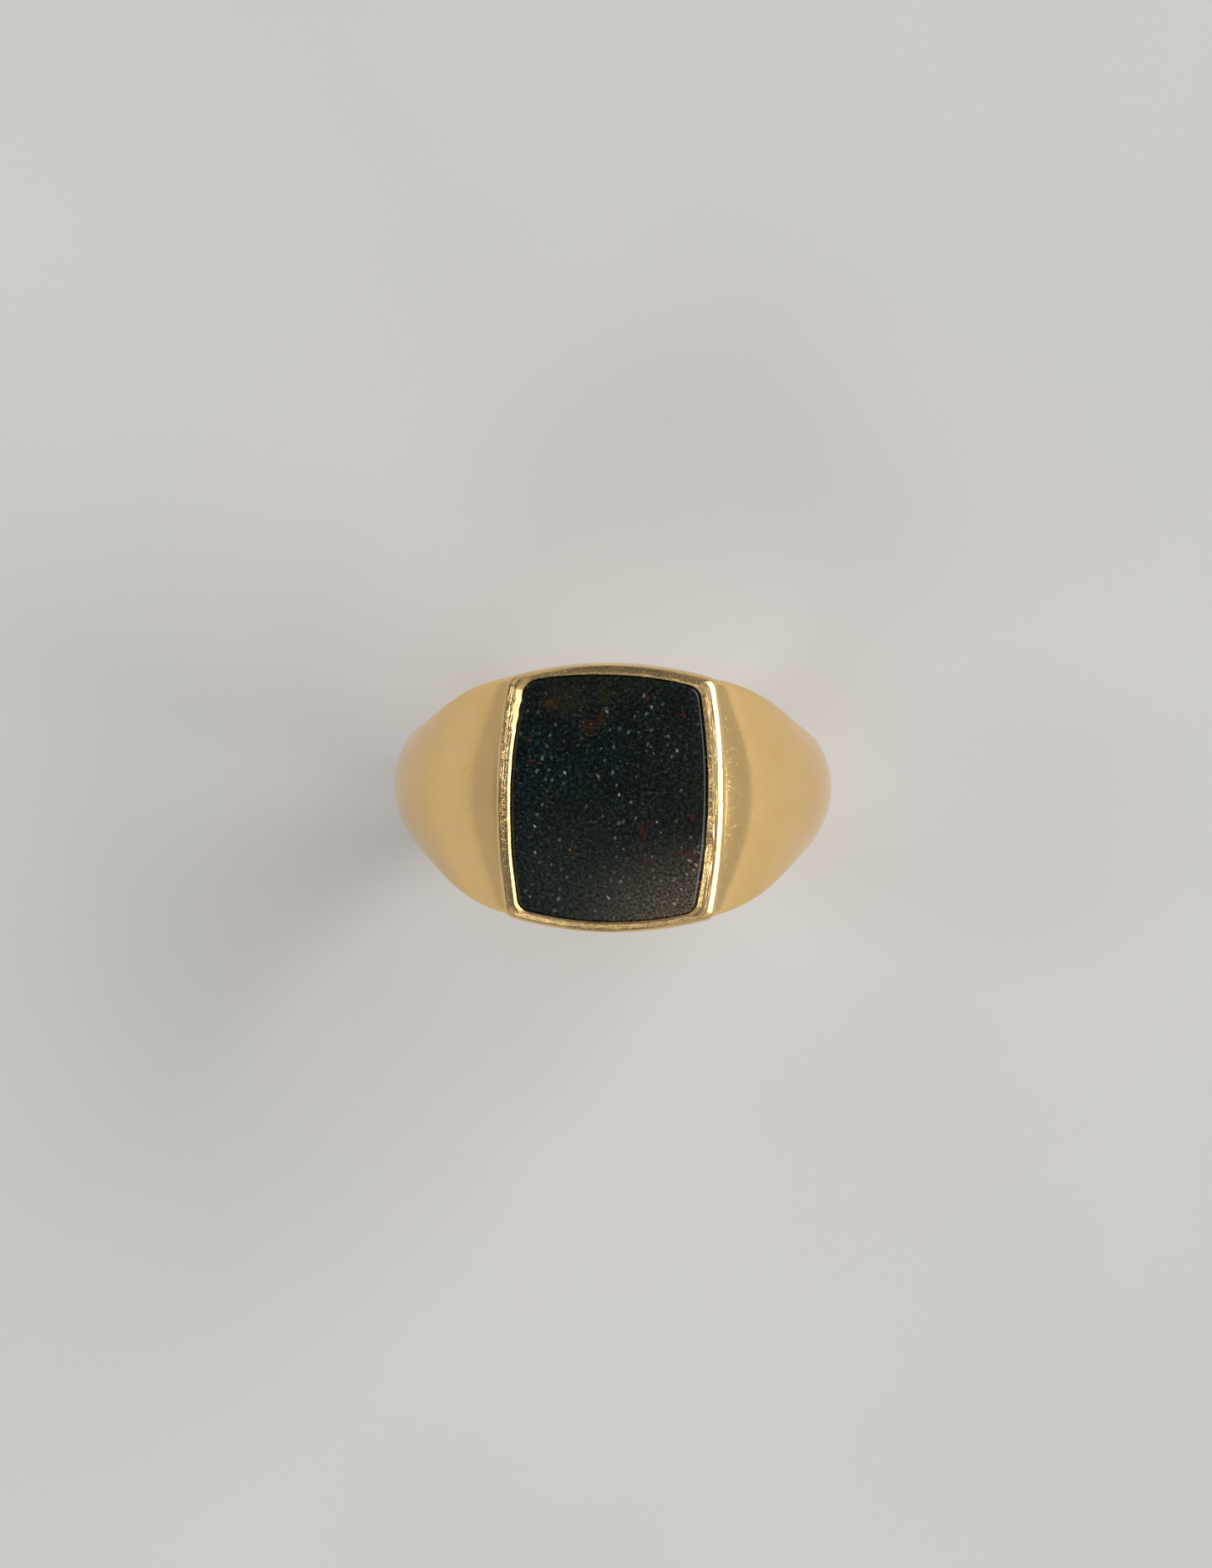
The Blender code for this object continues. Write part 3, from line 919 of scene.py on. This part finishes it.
def stone_ground(nodes, flat, grain):
    """The stone's colour before its marks, and the mask of its painted sheen.

    It is teal black, greyer below and browner to the right, with a lighter brownish sheen painted
    into the colour at the lower right, where the polish is also made rougher.
    """
    cloud = nodes.noise(flat, 0.55, detail=4.0, roughness=0.6)
    deep, open_colour = TEAL_BLACK
    colour = nodes.mix(nodes.span(cloud, 0.36, 0.66), rgb(*deep), rgb(*open_colour))
    for x, y, half_x, half_y, shade, strength in STONE_SHADES:
        share = nodes.math("MULTIPLY", region(nodes, flat, x, y, half_x, half_y), strength)
        colour = nodes.mix(share, colour, rgb(*shade))
    # A painted sheen: a lighter brownish patch at the lower right, speckled by a fine noise.
    painted_sheen = region(nodes, flat, *PAINTED_SHEEN_SPOT)
    painted_sheen_grain = nodes.noise(flat, 7.5, detail=3.0, roughness=0.75)
    painted_sheen = nodes.math("MULTIPLY", painted_sheen, nodes.span(painted_sheen_grain, 0.42, 0.60, 0.05, 1.0))
    patchy = nodes.span(nodes.noise(flat, 0.8, detail=3.0), 0.35, 0.68, 0.25, 0.85)
    pale = nodes.math("MULTIPLY", nodes.span(grain, 0.50, 0.64), patchy)
    colour = nodes.mix(pale, colour, rgb(*PALE_GRAIN))
    sunk = nodes.span(grain, 0.51, 0.38, 0.0, 0.92)
    colour = nodes.mix(sunk, colour, rgb(*DARK_GRAIN))
    return nodes.mix(painted_sheen, colour, rgb(*PAINTED_SHEEN)), painted_sheen


def bloodstone_material():
    """Dark green-black chalcedony with olive and red jasper marks and pale grains, and a painted
    sheen with bright specks at the lower right.
    """
    nodes = material_nodes("bloodstone_polish")
    flat = nodes.place(stretch=(1.0, 1.0, 0.0))
    grain = nodes.noise(flat, 5.5, detail=4.0, roughness=0.8)
    colour, painted_sheen = stone_ground(nodes, flat, grain)

    ragged = nodes.noise(flat, 3.4, detail=5.0, roughness=0.75)
    wobble = nodes.span(ragged, 0.25, 0.75, -0.85, 0.85)
    mottled = nodes.span(grain, 0.38, 0.60, 0.15, 0.9)
    for mark in STONE_MARKS:
        share = nodes.math("MULTIPLY", stone_mark(nodes, flat, wobble, mark), mottled)
        colour = nodes.mix(share, colour, rgb(*mark[4]))

    density = region(nodes, flat, *MAIN_GATHERING)
    density = nodes.math("MULTIPLY", density, MAIN_GATHERING_SHARE)
    for spot in GATHERINGS:
        density = nodes.math("MAXIMUM", density, region(nodes, flat, *spot))
    density = nodes.math("ADD", density, GRAINS_EVERYWHERE)
    for turn, scale, radius, share, strength, tint in GRAIN_LAYERS:
        found = specks(nodes, turn, scale, radius, share, density)
        colour = nodes.mix(nodes.math("MULTIPLY", found, strength), colour, rgb(*tint))

    # Pale pinkish specks painted along the lower right edge, as bright grains of the painted
    # sheen.
    beside_the_edge = region(nodes, flat, *PAINTED_SHEEN_SPECKS_SPOT)
    painted_sheen_specks = specks(nodes, *PAINTED_SHEEN_SPECKS_LAYER, beside_the_edge)
    colour = nodes.mix(painted_sheen_specks, colour, rgb(*PAINTED_SHEEN_SPECKS))

    polish = nodes.span(grain, 0.35, 0.8, 0.16, 0.26)
    # The polish is also made rougher where the sheen is painted.
    polish = nodes.math("ADD", polish, nodes.math("MULTIPLY", painted_sheen, 0.15))
    lines = hairlines(nodes, (0.0, 0.0, 0.8), 8.0, 0.04, 0.68)
    normal = nodes.bump(grain, 0.003, 0.20)
    normal = nodes.bump(lines, -0.002, 0.30, normal)
    return nodes.finish(
        Base_Color=colour, Roughness=polish, Normal=normal, IOR=STONE_IOR, Specular_IOR_Level=0.30
    )


def cement_material():
    """Pale dry setting cement."""
    nodes = material_nodes("cement_grain")
    place = nodes.place()
    grain = nodes.noise(place, 6.0, detail=5.0, roughness=0.7)
    colour = nodes.mix(grain, rgb(0.50, 0.46, 0.39), rgb(0.68, 0.64, 0.56))
    normal = nodes.bump(grain, 0.02, 0.6)
    dry = nodes.span(grain, 0.3, 0.7, 0.75, 0.95)
    return nodes.finish(Base_Color=colour, Roughness=dry, Normal=normal)


def floor_material():
    """Pale matt paper, very slightly uneven."""
    nodes = material_nodes("pale_floor")
    place = nodes.place()
    drift = nodes.noise(place, 0.02, detail=3.0)
    grain = nodes.noise(place, 3.0, detail=3.0)
    unevenness = nodes.span(drift, 0.3, 0.7)
    colour = nodes.mix(unevenness, rgb(0.76, 0.75, 0.735), rgb(0.80, 0.79, 0.775))
    matt = nodes.span(grain, 0.3, 0.7, 0.75, 0.9)
    return nodes.finish(Base_Color=colour, Roughness=matt, Specular_IOR_Level=0.2)


# ---------------------------------------------------------------- the studio


def build_floor(height):
    """A wide round floor."""
    spokes = range(FLOOR_SPOKES)
    points = [around(math.tau * spoke / FLOOR_SPOKES, FLOOR_RADIUS, height) for spoke in spokes]
    points.append((0.0, 0.0, height))
    faces = [(spoke, (spoke + 1) % FLOOR_SPOKES, FLOOR_SPOKES) for spoke in spokes]
    floor = add_mesh("floor", points, faces)
    floor.data.materials.append(floor_material())


def direction_to(azimuth, elevation):
    """A unit vector; the azimuth turns from +X towards +Y."""
    lift = math.radians(elevation)
    return around(math.radians(azimuth), math.cos(lift), math.sin(lift))


def add_softbox(name, azimuth, elevation, spread, radiance, colour):
    """A rectangular light, spread over given half angles as seen from the ring."""
    lamp = bpy.data.lights.new(name, "AREA")
    lamp.shape = "RECTANGLE"
    lamp.size = 2 * BOX_DISTANCE * MM * math.tan(math.radians(spread[0]))
    lamp.size_y = 2 * BOX_DISTANCE * MM * math.tan(math.radians(spread[1]))
    lamp.energy = radiance * math.pi * lamp.size * lamp.size_y
    lamp.color = colour
    box = bpy.data.objects.new(name, lamp)
    bpy.context.scene.collection.objects.link(box)
    towards = direction_to(azimuth, elevation)
    box.location = towards * BOX_DISTANCE * MM
    box.rotation_euler = (-towards).to_track_quat("-Z", "Y").to_euler()
    box.visible_camera = False


def light_studio():
    """A bright low key from the right, fainter boxes all round, and a soft surround."""
    for softbox in SOFTBOXES:
        add_softbox(*softbox)
    nodes = Nodes(bpy.data.worlds.new("studio"), "Background")
    direction = nodes.add("ShaderNodeTexCoord").outputs["Generated"]
    height = nodes.add("ShaderNodeSeparateXYZ", {0: direction}).outputs["Z"]
    sockets = {0: direction, 1: tuple(direction_to(*GLOW_DIRECTION))}
    towards_glow = nodes.add("ShaderNodeVectorMath", sockets, operation="DOT_PRODUCT")
    glow = nodes.span(towards_glow.outputs["Value"], *GLOW_REACH, 0.0, GLOW_STRENGTH, smooth=True)
    horizon = nodes.span(height, *HORIZON_REACH, 0.0, HORIZON_STRENGTH, smooth=True)
    strength = nodes.math("ADD", nodes.math("ADD", glow, horizon), SURROUND_STRENGTH)
    bpy.context.scene.world = nodes.finish(Color=SURROUND_COLOUR, Strength=strength)


def place_camera():
    """Nearly straight above the stone, a little towards +X and +Y, slightly rolled."""
    lens = bpy.data.cameras.new("camera")
    lens.lens = FOCAL_LENGTH
    lens.sensor_width = SENSOR_WIDTH
    lens.clip_start, lens.clip_end = CLIP_START, CLIP_END
    lean_x, lean_y = (math.tan(math.radians(lean)) for lean in CAMERA_LEAN)
    back = Vector((lean_x, lean_y, 1.0)).normalized()
    roll = math.radians(CAMERA_ROLL)
    upwards = Vector((-math.sin(roll), math.cos(roll), 0.0))
    right = upwards.cross(back).normalized()
    upwards = back.cross(right)
    middle = Vector((0.0, 0.0, BEZEL_CREST))
    aim = middle + right * AIM_OFFSET[0] + upwards * AIM_OFFSET[1]
    camera = bpy.data.objects.new("camera", lens)
    bpy.context.scene.collection.objects.link(camera)
    turned = Matrix((right, upwards, back)).transposed().to_4x4()
    stand = (aim + back * CAMERA_DISTANCE) * MM
    camera.matrix_world = Matrix.Translation(stand) @ turned
    bpy.context.scene.camera = camera


def set_view():
    """Plain colours, with no film curve."""
    view = bpy.context.scene.view_settings
    view.view_transform = "Standard"
    view.look = "None"
    view.exposure = 0.0


# ---------------------------------------------------------------- the whole scene


def dress(piece, material, node):
    """Give a skin its material, hang it under the root, and hide the CAD node it stands for."""
    piece.data.materials.clear()
    piece.data.materials.append(material)
    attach(piece, "root")
    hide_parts(node)


def main():
    """Load the frame, dress every node, and set up the studio and camera."""
    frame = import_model()
    cad_low, cad_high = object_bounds()
    gold = gold_material("gold_polish", *POLISHED_GOLD)
    rim_gold = gold_material("rim_gold", *WORKED_GOLD, wrought=True)
    stone = bloodstone_material()
    dress(build_shank(), gold, "shank")
    for name, side in (("shoulder_left", -1.0), ("shoulder_right", 1.0)):
        dress(build_shoulder(name + "_skin", side), gold, name)
    dress(build_saddle(), gold, "head_block")
    dress(build_bezel(), rim_gold, "bezel_wall")
    dress(build_stone(), stone, "bloodstone")
    hidden_materials = {
        "bezel_floor": rim_gold,
        "bearing_ledge": rim_gold,
        "setting_bed": cement_material(),
    }
    for name, material in hidden_materials.items():
        frame["nodes"][name].data.materials.clear()
        frame["nodes"][name].data.materials.append(material)
    build_floor(cad_low.z / MM - FLOOR_GAP)
    light_studio()
    place_camera()
    set_view()


main()
